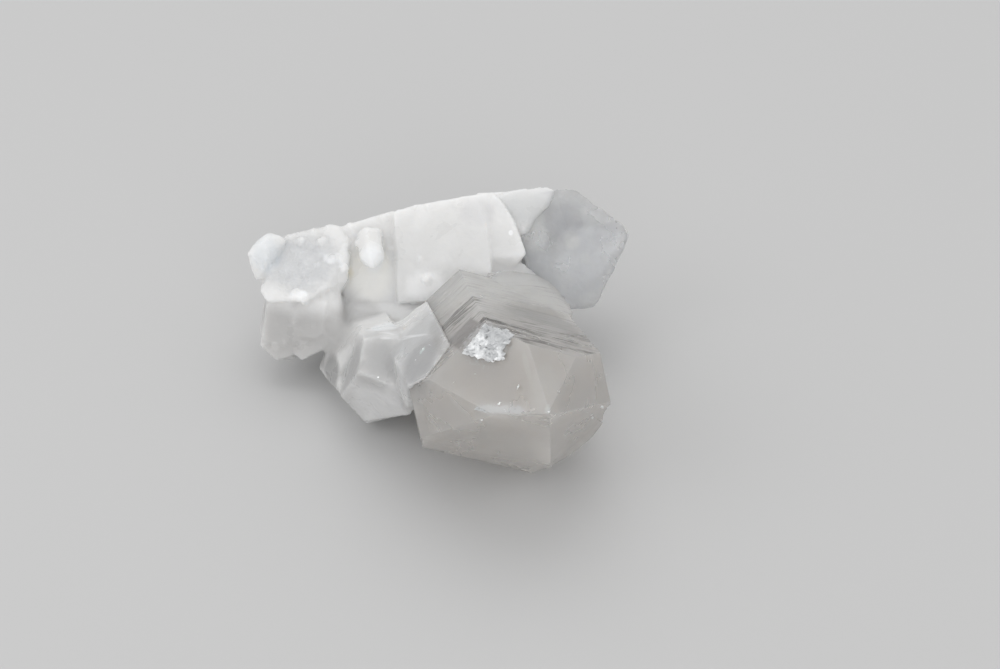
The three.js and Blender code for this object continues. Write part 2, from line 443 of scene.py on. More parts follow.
def facet(crystal, kind, i):
    # a point on a face, and its outward normal
    at, axis = inFrame(crystal["at"]), direction(crystal["heading"], crystal["rise"])
    up = (upward - axis * axis.dot(upward)).normalized()
    turn = math.radians(crystal["twist"] + 60 * i)
    outward = up * math.cos(turn) + up.cross(axis) * math.sin(turn)
    if kind == "prism":
        return at + outward * crystal["prism"][i] * mm, outward
    slope = outward * math.sin(pyramidTilt) + axis * math.cos(pyramidTilt)
    return at + slope * slope.dot(axis) * crystal["tip"][i] * mm, slope


def onFacet(crystal, kind, i, right, rise):
    # a place on a face, in mm to the right and up its slope, and the directions there
    origin, normal = facet(crystal, kind, i)
    sideways = upward.cross(normal).normalized()
    slopeUp = normal.cross(sideways)
    return origin + (sideways * right + slopeUp * rise) * mm, sideways, slopeUp, normal


def stroke(crystal, kind, i, right, rise, turn, length, width, square=0.0):
    # an oblong mark on a face: half its length and half its width in mm, turned from level
    place, sideways, slopeUp, normal = onFacet(crystal, kind, i, right, rise)
    t = math.radians(turn)
    along = sideways * math.cos(t) + slopeUp * math.sin(t)
    across = slopeUp * math.cos(t) - sideways * math.sin(t)
    return {"centre": place, "along": along / (length * mm), "across": across / (width * mm),
            "deep": normal / (min(length, width) * mm), "square": square}


def patch(place, reach, square=0.0):
    # a mark round a place, reach mm along each axis: rounded at square 0 and boxy at square 1
    x, y, z = reach
    return {"centre": inFrame(place), "along": Vector((1 / x, 0, 0)) / mm,
            "across": Vector((0, 1 / y, 0)) / mm, "deep": Vector((0, 0, 1 / z)) / mm, "square": square}


def streak(start, end, width):
    # a thin mark drawn from one place to another, width in mm
    first, last = inFrame(start), inFrame(end)
    along = (last - first) / 2
    across = along.cross(upward).normalized()
    deep = along.cross(across).normalized()
    return {"centre": (first + last) / 2, "along": along / along.length_squared,
            "across": across / (width * mm), "deep": deep / (2 * width * mm)}


def growCrystal(name, crystal):
    # cut a blank to the crystal's faces, then add its lobes and break off its chips
    bpy.ops.object.select_all(action="DESELECT")
    bpy.ops.mesh.primitive_cube_add(size=blankSize, location=inFrame(crystal["at"]))
    piece = bpy.context.object
    piece.name = name
    bpy.ops.object.transform_apply(location=True, rotation=True, scale=True)
    axis = direction(crystal["heading"], crystal["rise"])
    bpy.ops.object.mode_set(mode="EDIT")
    cleave(inFrame(crystal["at"]) - axis * crystal["length"] * mm, -axis)
    for kind in ("prism", "tip"):
        for i in range(6):
            cleave(*facet(crystal, kind, i))
    for heading, rise, through in crystal["cuts"]:
        cleave(inFrame(through), direction(heading, rise))
    bpy.ops.object.mode_set(mode="OBJECT")
    for kind, operation in (("lobes", "UNION"), ("chips", "DIFFERENCE")):
        for corners in crystal.get(kind, ()):
            shape = wrapCorners(kind, corners)
            finishWith(piece, "BOOLEAN", object=shape, operation=operation, solver="EXACT")
            bpy.data.objects.remove(shape)
    return piece


def wearEdges(piece, wear):
    # round the sharp edges with a narrow band, which takes the piece's second material
    finishWith(piece, "BEVEL", width=wear * mm, segments=2, limit_method="ANGLE",
               angle_limit=math.radians(12), material=1, use_clamp_overlap=True)


def stepFaces(piece, crystal, growth):
    # shallow growth steps round the prism: one ring is cut, and the next two are drawn towards the axis
    axis, at = direction(crystal["heading"], crystal["rise"]), inFrame(crystal["at"])
    spacing = random.Random(growth["seed"])
    depth = growth["from"]
    pickOnly(piece)
    bpy.ops.object.mode_set(mode="EDIT")
    while depth < growth["to"]:
        sink = spacing.uniform(*growth["sink"])
        drawn = 1 - sink / growth["halfWidth"]
        levelled = growth["edge"] + sink * growth["runOut"]
        for shift, scale in ((0, 1), (growth["edge"], drawn), (levelled, drawn)):
            middle = at - axis * (depth + shift) * mm
            bpy.ops.mesh.select_all(action="SELECT")
            bpy.ops.mesh.bisect(plane_co=middle, plane_no=axis, threshold=cutTolerance)
            bpy.ops.transform.resize(value=(scale, scale, scale), center_override=middle)
        depth += spacing.uniform(*growth["gap"])
    bpy.ops.object.mode_set(mode="OBJECT")


def grey(level):
    return (level, level, level, 1)


pale = (0.8, 0.8, 0.79, 1)
white = (0.94, 0.95, 0.96, 1)

frontCrystal = {
    "at": (17.7, -35.6, 27.1), "heading": -80, "rise": 19, "twist": 21, "length": 49,
    "prism": (15.6, 19.1, 16.6, 15.2, 18.9, 16.9),
    "tip": (14.7, 11.9, 3.9, -2.4, 6.3, 8.5),
    "cuts": [(-8, -30, (34.6, -20.0, 6.0))],
    "lobes": [  # low bulges at the top of the root end and along the lower right edge
        [
            (10.3, 18.0, 25.4), (12.9, 18.0, 25.9), (15.4, 18.0, 26.0), (20.5, 17.5, 25.4),
            (23.2, 16.0, 24.7), (25.5, 13.5, 23.9), (27.5, 9.0, 23.8), (28.0, 5.0, 24.6),
            (13.9, 14.9, 25.1), (16.0, 9.3, 26.7), (19.1, 6.3, 26.8), (22.2, 4.9, 26.4),
            (25.2, 2.7, 26.2), (27.0, 1.0, 26.0), (10.5, 13.5, 26.5), (11, 18, 20),
            (22, 10, 15), (26.5, 4, 20), (12, 6, 20),
        ],
        [
            (33.6, -19.0, 15.3), (31.5, -19.5, 12.0), (29.1, -20.0, 9.5), (26.2, -21.5, 8.2),
            (23.6, -23.5, 8.0), (32.2, -20.3, 17.6), (30.4, -24.3, 22.0), (27.5, -25.3, 19.1),
            (24.5, -27.0, 17.4), (23.1, -24.2, 9.9), (28, -15, 18), (24, -18, 12),
        ],
    ],
    "chips": [  # the knocked corner
        [
            (33.5, -20, 20.3), (33.5, -18.6, 15), (33.8, -17, 19), (33.8, -16, 15),
            (36, -25, 22), (36, -24, 12), (36, -14, 21.5), (36, -13, 14),
        ],
    ],
    "wear": 0.16,
    "steps": {"seed": 5, "from": 15.0, "to": 46.0, "gap": (1.6, 3.4), "sink": (0.04, 0.13),
              "edge": 0.12, "runOut": 6, "halfWidth": 17.0},
}


def onFront(*placing):
    # a stroke on one of the front crystal's faces
    return stroke(frontCrystal, *placing)


frontLook = {
    "clear": (0.72, 0.695, 0.67, 1), "cloudy": (0.8, 0.79, 0.775, 1), "haze": 0.45, "hazeScale": 60.0,
    "milk": (4.0, 24.0), "rooted": (0.87, 0.87, 0.86, 1),
    "gloss": 0.16, "frosted": 0.3, "clarity": 0.55, "glow": 9.0, "grain": 0.03, "grainScale": 900.0,
    "axis": direction(frontCrystal["heading"], frontCrystal["rise"]),
    "along": 900.0, "across": 80.0, "linesFrom": (0.018, 0.029),
    "darkLines": 0.9, "brightLines": 0.5, "lineColour": (0.1, 0.095, 0.09, 1), "relief": 0.7,
    "marks": {  # mark, strength, tint, raggedness and its scale
        "warmer face": (onFront("tip", 5, -8.0, 6.0, 5, 12.0, 8.0), 0.45, (0.66, 0.635, 0.61, 1), 0.4, 200.0),
        "ridge cloud": (onFront("tip", 5, -4.5, 1.0, 24, 6.5, 1.1), 0.6, white, 2.0, 500.0),
        "high wisp": (onFront("tip", 5, -4.2, 10.8, -42, 4.5, 0.7), 0.35, pale, 1.0, 400.0),
        "narrow face": (onFront("tip", 0, 4.5, 3.5, 30, 5.5, 3.5), 0.3, pale, 0.8, 300.0),
        "bruised corner": (onFront("tip", 0, 0.6, -1.0, 40, 1.4, 0.8), 0.7, white, 1.0, 900.0),
        "low wisp": (onFront("tip", 2, 11.4, -6.5, -75, 4.0, 0.6), 0.4, pale, 1.0, 400.0),
        "small cloud": (onFront("tip", 4, -13.5, 0.8, -20, 2.6, 1.0), 0.4, pale, 1.2, 600.0),
        "scratch": (onFront("tip", 4, -20.2, -9.8, -28, 1.2, 0.16), 0.9, white, 0.2, 400.0),
        "left scuff": (onFront("tip", 3, -5.4, -10.6, 10, 1.4, 0.25), 0.6, pale, 0.6, 600.0),
        "right scuff": (onFront("tip", 3, 2.0, -9.8, 5, 1.2, 0.2), 0.5, pale, 0.6, 600.0),
        "smooth dark face": (
            onFront("prism", 5, -17.2, -5.8, 40, 5.2, 3.7, 1.0), 2.5, (0.43, 0.41, 0.405, 1), 0.1, 200.0),
        # painted light: the low faces that look down are lightened against their shade
        "painted light on the low faces": (
            patch((17.0, -40.0, 10.0), (28.0, 20.0, 15.0)), 0.8, (0.85, 0.83, 0.81, 1), 0.3, 100.0),
        "greyer right face": (
            patch((22.5, -1.5, 29.5), (10.0, 8.0, 6.0)), 0.6, (0.57, 0.56, 0.545, 1), 1.4, 160.0),
        "broken corner": (
            onFront("tip", 5, -15.0, 11.2, 10, 5.8, 5.0), 0.8, (0.8, 0.81, 0.82, 1), 2.2, 1300.0),
    },
    "crowdedLines": {  # mark, how much it adds, raggedness and its scale
        "left": (onFront("prism", 5, -27.5, -13.0, -61.3, 10.0, 5.0), 0.07, 1.4, 250.0),
        "right": (onFront("prism", 0, 15.2, -6.0, 46.1, 11.0, 3.4), 0.045, 1.2, 250.0),
        "far right": (onFront("prism", 0, 4.0, -11.0, 46.1, 9.0, 1.8), 0.04, 1.2, 250.0),
    },
    "specks": (170.0, 0.05, 0.1),
    "soak": (0.86, 0.82, 0.77, 1), "density": 22.0,
}
wornLook = {
    "clear": (0.72, 0.71, 0.7, 1), "cloudy": (0.86, 0.86, 0.86, 1), "haze": 0.7, "hazeScale": 320.0,
    "gloss": 0.3, "frosted": 0.5, "clarity": 0.3, "glow": 4.0, "grain": 0.1, "grainScale": 2500.0,
    "specks": (500.0, 0.2, 0.15),
}
worn = quartz("wornEdge", wornLook)
front = growCrystal("frontCrystal", frontCrystal)
wearEdges(front, frontCrystal["wear"])
stepFaces(front, frontCrystal, frontCrystal["steps"])
flattenFoot(front)
settle(front, [quartz("warmQuartz", frontLook), worn])

sideCrystal = {
    "at": (-9.9, -7.5, 15.2), "heading": -79, "rise": 23, "twist": -6, "length": 30,
    "prism": (9.7, 8.5, 7.6, 9.7, 9.4, 7.2),
    "tip": (7, 6, 5.4, 2.7, 3.7, 9.4),
    "cuts": [],
}
lowerLeft = {
    "at": (-34.6, 16.5, 7.0), "heading": -113, "rise": -66, "twist": 8, "length": 12.5,
    "prism": (3.9, 4.0, 3.9, 3.9, 4.0, 4.3),
    "tip": (3.6, 6.5, 6.5, 5.0, 3.4, 3.4),
    "cuts": [(-20, -70, (-33.3, 14.2, 4.8))],
}
lowerRight = {
    "at": (-27.2, 15.5, 8.2), "heading": -106, "rise": -62, "twist": 4, "length": 10.5,
    "prism": (4.4, 4.6, 5.0, 5.0, 5.2, 4.8),
    "tip": (3.4, 2.4, 2.4, 4.0, 5.0, 5.0),
    "cuts": [],
}
rightCrystal = {
    "at": (26.9, 33.3, 19.4), "heading": 22, "rise": -10, "twist": -39, "length": 12,
    "prism": (6.0, 14.4, 8.0, 6.0, 9.5, 14.7),
    "tip": (20.0, 20.2, 13.2, 9.0, 13.9, 20.4),
    "cuts": [(-28, 5, (40.0, 34.1, 21.6)), (-6, -40, (40.2, 34.3, 20.8))],
    "weather": {"voxel": 0.4, "rough": 0.7, "roughSize": 3.5, "rounds": 3},
}
rightLook = {
    "clear": (0.72, 0.73, 0.75, 1), "cloudy": (0.82, 0.83, 0.84, 1), "haze": 0.7, "hazeScale": 90.0,
    "milk": (38.0, 62.0), "rooted": (0.95, 0.95, 0.94, 1),
    "gloss": 0.18, "frosted": 0.32, "clarity": 0.5, "glow": 9.0, "grain": 0.03, "grainScale": 900.0,
    "marks": {
        "pale spot": (patch((28.4, 30.8, 24.8), (2.0, 2.4, 2.4)), 0.6, pale, 1.0, 300.0),
        "pale spot below": (patch((31.0, 28.5, 21.5), (1.6, 1.6, 2.0)), 0.4, pale, 1.0, 300.0),
        "dim top": (patch((26.5, 34.0, 28.0), (6.5, 6.0, 4.5)), 0.4, (0.56, 0.565, 0.58, 1), 1.3, 120.0),
        "dim left": (patch((24.5, 29.0, 25.0), (3.2, 4.0, 3.4)), 0.35, grey(0.56), 0.8, 200.0),
        "dim right": (patch((35.5, 34.5, 23.5), (3.5, 4.0, 3.0)), 0.3, (0.56, 0.57, 0.6, 1), 0.8, 200.0),
        # the milky root colour, spread over the crease against the shoulder as painted light to lift its
        # shade
        "white root with painted light in its crease": (patch((19.0, 30.0, 28.0), (4.5, 6.0, 6.5)), 0.85, (0.93, 0.94, 0.94, 1), 0.5, 200.0),
        "pale low edge": (patch((32.0, 21.5, 15.5), (4.5, 3.0, 2.2)), 0.5, pale, 1.0, 300.0),
    },
    "specks": (200.0, 0.04, 0.03),
    "soak": (0.88, 0.88, 0.87, 1), "density": 16.0,
}
right = growCrystal("rightCrystal", rightCrystal)
weather(right, **rightCrystal["weather"])
settle(right, [quartz("greyQuartz", rightLook)])

# milky root

sprout = {
    "at": (-14.2, 22.2, 25.2), "heading": -84, "rise": -14, "twist": 15, "length": 8,
    "prism": (2.3, 2.5, 2.5, 2.3, 2.5, 2.5),
    "tip": (2, 2, 2, 2, 2, 2),
    "cuts": [],
    "weather": {"voxel": 0.3, "rough": 0.3, "roughSize": 1.5, "rounds": 6},
}
rootBlocks = {
    "foot": [
        (-22, 18, -2), (-26, 28, -2), (-14, 36, -2), (16, 36, -2), (27, 26, -2), (24, 4, -2), (2, 4, -2),
        (-30, 30, 9), (-25, 35.5, 15), (-12, 38, 19), (13, 38.4, 20), (25, 35, 15), (28, 30, 10),
        (24, 14, 10), (-24, 20, 8),
    ],
    "hollow": [
        (-21.5, 32, 27.5), (-15.5, 32.5, 28.7), (-10, 34, 30.4), (-9.5, 27, 25.4), (-19.5, 27, 24.5),
        (-9, 19.6, 17), (-20.5, 19.6, 16.9), (-9, 20.5, 13), (-20.5, 20.5, 13),
        (-20, 38.7, 22), (-8, 38.7, 24), (-20, 34, 8), (-8, 34, 8),
    ],
    "middle": [
        (-10, 32.5, 31), (-6, 33.5, 32), (-2, 33.5, 32), (6.5, 34.5, 34), (11, 35.5, 34),
        (10, 27.5, 30.5), (11, 19, 25), (-9, 18.5, 17.1), (-9, 26, 25.5), (11, 16, 20),
        (-8, 38.7, 24), (12, 38.7, 26), (-8, 35, 8), (14, 35, 8),
    ],
    "wedge": [
        (10.5, 35.5, 34), (11.5, 35, 34.5), (14, 31.5, 33.5), (16, 28.5, 31.5), (17, 24, 29.5),
        (18.5, 21.5, 28), (17.5, 21, 27.5), (10.5, 22.5, 26.5), (10, 28, 30),
        (10, 36, 26), (17, 32, 22), (16, 26, 20), (11, 22, 18),
    ],
    "shoulder": [
        (12, 35, 33), (13, 34.5, 34), (14, 35, 34.2), (16, 36, 34.5), (18.5, 37, 34.2), (23, 38.7, 33.6),
        (24.5, 38.5, 32.8), (22, 36, 32.1), (20.5, 34.5, 31.8), (19, 31.5, 30.6), (18, 28.5, 28.8),
        (14, 28, 27), (14, 38.7, 24), (26, 38.7, 26), (24, 28, 18), (15, 26, 20),
    ],
    "saddle": [
        (-2.5, 11.5, 23), (-3.5, 5.5, 23.5), (-2, -1, 26), (0, -8, 29.5), (3, -16.5, 33.5),
        (-2, -23.5, 30.5), (-5, -22, 27.5), (-6.5, -15, 25.5), (-8.5, -5.5, 22), (-13, 8.5, 15.5),
        (-11.5, 10.5, 16), (-6, 1.5, 23), (1, 13, 16), (3, 0, 16), (3, -16, 22), (-8, 12, 10),
    ],
    "leftPoint": [
        (-38.6, 14.2, 8.9), (-35.1, 12.3, 6.2), (-31.4, 12.2, 7.6), (-37, 17.3, 17.3), (-34, 17.4, 19),
        (-31.5, 16.3, 18.6), (-37.5, 18, 9), (-34.5, 17, 5), (-31.5, 17, 8), (-36.5, 20, 16), (-32, 20, 16),
    ],
    "rightPoint": [
        (-31.2, 12.2, 8), (-29.5, 11, 7.3), (-24.7, 11.4, 9.7), (-22.6, 11.6, 11.4), (-20.2, 12.3, 13.4),
        (-30, 16.4, 18.2), (-24.5, 16.8, 19.8), (-21, 18.2, 20.8), (-20.4, 16.5, 18), (-29.5, 17, 8),
        (-24.5, 17, 9), (-20.5, 17, 11), (-28, 20, 16), (-21, 21, 16),
    ],
    "step": [
        (-22.5, 20, 16.6), (-20, 19.2, 16.5), (-9, 19.2, 16.5), (-2.5, 19.2, 16.8), (-2, 13, 14.5),
        (-6.5, 13, 14), (-12.5, 12.5, 13), (-19, 13, 12), (-22.5, 16, 14), (-22, 24, 6), (0, 24, 6),
        (-18, 16, 6), (0, 14, 8),
    ],
    "gusset": [
        (-9.8, -2.5, 21.1), (-8.6, -8.5, 19.1), (-7.8, -11.5, 17.1), (-6.2, -12.5, 13.5), (-5.2, -22, 27.3),
        (-6.6, -15, 25.4), (-8.5, -5.5, 22), (0, -20, 24), (0, -10, 10), (0, -5, 20),
    ],
    "sideFace": [
        (-15.8, -4.6, 3.2), (-5.3, -12, 11.5), (-5.9, -13.3, 19), (-9.2, -11.2, 18.6), (-11.6, -9.3, 15.9),
        (-12, -3, 6), (-4, -6, 12), (-8, -6, 18), (-10, -4, 8),
    ],
    "crook": [
        (-24.8, 12.3, 8.7), (-22.4, 11.7, 11.3), (-20.2, 12.3, 13.4), (-18.2, 4.5, 15), (-21.5, 3, 9.2),
        (-24.6, 7.5, 7.3), (-20, 12, 6), (-18, 5, 8), (-19.5, 15.5, 14.5), (-16.5, 12, 16.5), (-16.5, 8, 17),
    ],
    "crease": [
        (-33, 16.6, 17.2), (-29.5, 15.9, 17.2), (-31.3, 15.4, 17.6), (-32.3, 15.1, 14.2), (-30.3, 14.4, 14.2),
        (-31.8, 13.3, 10.5), (-30.8, 12.6, 10.5), (-31.3, 18, 12),
    ],
    "sliver": [
        (-20, -2, 8.5), (-23.5, 5, 6.5), (-26, 11.5, 5), (-25, 15, 6.5), (-22.5, 13, 9), (-21, 7, 10),
        (-21, 1, 9.5), (-18, 14, 4), (-17, 4, 4), (-16, 8, 12),
    ],
    "nook": [
        (10, 23, 25.5), (17.8, 22.5, 24.8), (21.4, 21.5, 22), (17, 16.5, 20.5), (9, 16.5, 21),
        (12, 26, 14), (22, 24, 14), (18, 15, 14), (9, 15, 14),
    ],
    "seam": [
        (8, 35.6, 34.0), (17, 36.2, 34.1), (8, 38.4, 27), (17, 38.4, 27), (8, 31, 28), (18, 30.5, 28),
        (9, 30, 20), (20, 28, 20),
    ],
}
frostedBlock = [
    (-33.5, 29, 27), (-27.5, 31, 27.5), (-23, 32, 28), (-21.5, 31.5, 28), (-19.5, 28, 27),
    (-19.5, 24, 25), (-20, 20, 22), (-20.5, 19, 21.5), (-24, 17, 22), (-28, 15.5, 20),
    (-31, 16, 20.5), (-34.5, 18.5, 20.5), (-38, 21.5, 20), (-38, 18.5, 20), (-37, 16.5, 19),
    (-36.5, 27.5, 22), (-33, 36, 22), (-20, 38.7, 20), (-34, 33, 12), (-18, 34, 10),
    (-33, 26, 12), (-20, 26, 11),
]
whiteLump = [
    (-36.5, 28, 29), (-33.5, 27, 28.5), (-39, 26, 28), (-41, 24, 26), (-39.5, 22.5, 23),
    (-39.5, 21.5, 20.5), (-38, 21.5, 20.5), (-36.5, 26, 22.5), (-34, 26.5, 25.5), (-32.5, 26.5, 27.5),
    (-37.5, 25, 29), (-36.5, 23.5, 27.5), (-37, 31, 26), (-38, 29, 21), (-34, 31, 24),
]
crumbs = {  # place and radius in mm
    "brightest": ((-30.1, 16.9, 20.9), 1.3), "next": ((-28.7, 16.0, 20.2), 1.1),
    "high": ((-27.8, 18.2, 21.7), 0.8), "low": ((-28.3, 16.4, 18.9), 0.8),
    "leftLow": ((-31.6, 16.5, 20.0), 1.1), "rightLow": ((-24.6, 17.8, 20.2), 1.0),
    "right": ((-21.8, 18.8, 21.0), 1.0), "rim": ((-20.3, 22.3, 23.6), 1.1),
    "rimHigh": ((-20.2, 26.8, 26.2), 1.0), "patch": ((-22.8, 23.9, 24.8), 1.2),
    "patchLow": ((-25.8, 22.4, 24.0), 1.0), "crest": ((-25.1, 27.6, 26.3), 1.4),
    "crestLeft": ((-29.5, 28.0, 26.3), 1.4), "besideSprout": ((-11.5, 28.4, 24.0), 1.2),
    "besideSproutLow": ((-11.4, 29.6, 25.6), 1.2), "leftOfSprout": ((-17.2, 27.0, 26.6), 1.1),
    "crestA": ((-19.4, 32.0, 27.4), 1.0), "crestB": ((-12.2, 33.0, 29.0), 0.9),
    "crestC": ((-8.6, 33.0, 30.1), 1.1), "crestD": ((-2.5, 33.2, 31.5), 1.1),
    "crestE": ((2.6, 33.8, 32.4), 0.9), "crestF": ((-27.2, 30.4, 27.0), 1.0),
    "middle": ((-2.6, 20.6, 21.9), 1.3), "middleHigh": ((-4.1, 23.9, 24.5), 0.9),
}


def crumble(places, uneven=0.3):
    # small uneven lumps, each with its own seed
    made = []
    for place, size in places.values():
        bpy.ops.object.select_all(action="DESELECT")
        bpy.ops.mesh.primitive_ico_sphere_add(subdivisions=2, radius=size * mm, location=inFrame(place))
        crumb = bpy.context.object
        bpy.ops.object.transform_apply(location=True, rotation=True, scale=True)
        bpy.ops.object.mode_set(mode="EDIT")
        bpy.ops.mesh.select_all(action="SELECT")
        bpy.ops.transform.vertex_random(offset=size * uneven * mm, seed=len(made))
        bpy.ops.object.mode_set(mode="OBJECT")
        made.append(crumb)
    return made


milkyLook = {
    "clear": (0.69, 0.69, 0.685, 1), "cloudy": (0.78, 0.78, 0.78, 1), "haze": 0.7, "hazeScale": 70.0,
    "gloss": 0.24, "frosted": 0.42, "clarity": 0.0, "glow": 7.0, "grain": 0.08, "grainScale": 900.0,
    "frostZone": (patch((-29.0, 24.0, 23.5), (11.5, 11.0, 7.0)), 0.45),
    "marks": {  # mark, strength, tint, raggedness and its scale
        # a lighter, warmer tint painted into the recess as light against its shade
        "recess lightened against its shade": (patch((-15.0, 25.0, 20.5), (6.0, 9.0, 8.0)), 0.85, (0.81, 0.805, 0.78, 1), 0.4, 200.0),
        # painted shadow: a yellowish shadow beside the frosted block's right edge
        "yellowish painted shadow": (
            patch((-19.6, 24.5, 20.2), (1.6, 2.6, 2.6)), 0.6, (0.76, 0.72, 0.6, 1), 0.8, 500.0),
        "frosted block": (
            patch((-29.0, 24.0, 23.5), (10.5, 9.5, 6.0)), 0.7, (0.6, 0.61, 0.625, 1), 0.6, 400.0),
        "white lump": (patch((-37.0, 25.0, 25.5), (4.2, 5.5, 5.0)), 0.9, (0.68, 0.7, 0.72, 1), 0.4, 300.0),
        "left crumbs": (patch((-29.5, 16.4, 20.6), (2.4, 1.6, 1.5)), 0.8, white, 0.8, 600.0),
        "right crumbs": (patch((-22.8, 23.9, 24.8), (2.4, 2.0, 1.2)), 0.5, white, 1.0, 600.0),
        "pale rim": (patch((-20.4, 24.0, 24.6), (1.2, 5.0, 2.6)), 0.5, (0.86, 0.87, 0.88, 1), 0.9, 500.0),
        "white sprout": (
            patch((-14.2, 23.5, 25.0), (2.9, 6.0, 4.0)), 0.9, (0.82, 0.84, 0.86, 1), 0.2, 300.0),
        "bright speck": (patch((15.2, 25.9, 30.2), (0.6, 0.9, 0.6)), 0.8, white, 0.4, 500.0),
        # painted shade in the small pit where the right crystal meets the wedge
        "pit": (patch((18.0, 22.5, 25.3), (1.6, 1.2, 0.8)), 0.6, grey(0.5), 0.8, 600.0),
        # painted shade in a small dent
        "dent": (patch((-4.1, 19.8, 20.8), (0.8, 0.8, 0.8)), 0.3, grey(0.6), 0.8, 600.0),
        "greyer foot": (
            patch((0.0, 20.0, 0.0), (60.0, 60.0, 18.5)), 0.8, (0.62, 0.62, 0.61, 1), 0.25, 100.0),
        "greyer lower pair": (
            patch((-29.0, 14.0, 10.5), (13.0, 8.0, 8.8), 1.0), 0.9, (0.46, 0.455, 0.45, 1), 0.25, 200.0),
        "greyer side crystal": (patch((-12.0, -4.0, 13.5), (13.0, 14.0, 12.5)), 0.9, grey(0.4), 0.3, 200.0),
        "its paler foot": (patch((-12.0, -9.0, 9.0), (11.0, 8.0, 9.5)), 0.9, grey(0.62), 0.3, 200.0),
        # painted light: lightens the low corner that lies in shade from the front crystal and the saddle
        "painted light in the low corner": (patch((-3.0, 19.0, 21.0), (5.5, 4.5, 4.0)), 0.8, grey(0.88), 0.8, 200.0),
        "greyer shoulder": (
            patch((17.5, 33.5, 32.0), (6.5, 5.5, 4.5)), 0.6, (0.6, 0.61, 0.615, 1), 0.6, 300.0),
        "greyer crest": (
            patch((8.0, 31.0, 32.0), (4.5, 4.5, 3.0)), 0.45, (0.62, 0.62, 0.63, 1), 0.8, 300.0),
        "greyer step": (
            patch((-16.5, 17.0, 16.0), (4.5, 4.0, 3.2)), 0.6, (0.52, 0.515, 0.51, 1), 0.6, 300.0),
        "greyer saddle": (
            patch((-2.5, -10.0, 26.0), (8.0, 20.0, 10.0)), 0.8, (0.46, 0.465, 0.47, 1), 0.4, 200.0),
        "saddle's low end": (
            patch((-3.0, -15.5, 28.5), (6.0, 10.0, 6.0)), 0.75, (0.34, 0.34, 0.345, 1), 0.4, 200.0),
        "saddle's far edge": (
            streak((-0.5, 4.0, 26.0), (4.0, -27.0, 36.5), 2.8), 0.55, (0.3, 0.295, 0.29, 1), 0.8, 300.0),
        # painted shade on the left faces of the side crystal
        "painted shade on the left faces": (patch((-22.5, 5.5, 8.5), (2.8, 6.0, 4.0)), 0.8, grey(0.26), 0.5, 300.0),
        # a small greenish painted glint on the saddle, beside the bright grit
        "painted greenish glint": (patch((-2.5, -11.5, 28.1), (1.0, 1.3, 0.8)), 0.4, (0.72, 0.86, 0.83, 1), 1.8, 900.0),
        "cloud above the streaks": (
            patch((-11.3, 6.4, 19.6), (4.0, 3.4, 2.6)), 0.7, (0.82, 0.84, 0.86, 1), 1.0, 300.0),
        "long streak's start": (
            streak((-12.9, 3.0, 21.2), (-8.0, 1.0, 21.9), 0.5), 0.45, (0.85, 0.86, 0.87, 1), 0.9, 700.0),
        "long streak's end": (
            streak((-8.0, 1.0, 21.9), (-1.2, -6.8, 28.6), 0.45), 0.45, (0.85, 0.86, 0.87, 1), 0.9, 700.0),
        "short streak's start": (
            streak((-12.7, 0.3, 21.5), (-8.6, 0.2, 21.6), 0.4), 0.35, (0.85, 0.86, 0.87, 1), 0.9, 700.0),
        "short streak's end": (
            streak((-8.6, 0.2, 21.6), (-3.5, -4.0, 26.2), 0.4), 0.35, (0.85, 0.86, 0.87, 1), 0.9, 700.0),
        "light wedge": (patch((-6.8, -8.0, 22.0), (0.9, 6.0, 2.5)), 0.5, (0.7, 0.71, 0.72, 1), 0.5, 400.0),
        # painted light on the inner face that turns towards the front crystal and lies in its shade
        "painted light on the inner face": (patch((-8.6, -9.6, 15.5), (2.6, 4.0, 4.5)), 0.6, grey(0.64), 0.4, 300.0),
        "small cloud": (patch((-10.4, -7.3, 11.1), (2.4, 1.2, 1.6)), 0.3, grey(0.7), 1.2, 400.0),
        "pale spot": (patch((-35.2, 13.7, 9.2), (1.2, 1.4, 1.3)), 0.3, grey(0.7), 1.6, 600.0),
        # a painted highlight along the edge where the lower pair meet
        "painted highlight on the lower pair's edge": (streak((-31.9, 14.6, 8.6), (-32.0, 16.4, 13.0), 0.4), 0.5, grey(0.7), 0.8, 500.0),
    },
    "specks": (250.0, 0.05, 0.08),
}
weathering = {  # in mm, apart from the rounds of softening
    "frosted": {"voxel": 0.5, "rough": 0.9, "roughSize": 2.5, "rounds": 1},
    "lump": {"voxel": 0.5, "rough": 0.5, "roughSize": 2.5, "rounds": 2},
    "foot": {"voxel": 0.6, "rough": 1.8, "roughSize": 4.5, "rounds": 1},
    "root": {"voxel": 0.4, "rough": 0.15, "roughSize": 2.0, "rounds": 2},
}
frosted = wrapCorners("frosted", frostedBlock)
weather(frosted, **weathering["frosted"])
lump = wrapCorners("lump", whiteLump)
weather(lump, **weathering["lump"])
blocks = [wrapCorners(name, corners) for name, corners in rootBlocks.items()]
foot = blocks[0]
weather(foot, **weathering["foot"])
bud = growCrystal("sprout", sprout)
weather(bud, **sprout["weather"])
smaller = {"side": sideCrystal, "lowerLeft": lowerLeft, "lowerRight": lowerRight}
grown = [growCrystal(name, crystal) for name, crystal in smaller.items()]
root = joinAll(blocks + grown + [frosted, lump, bud] + crumble(crumbs), "milkyRoot")
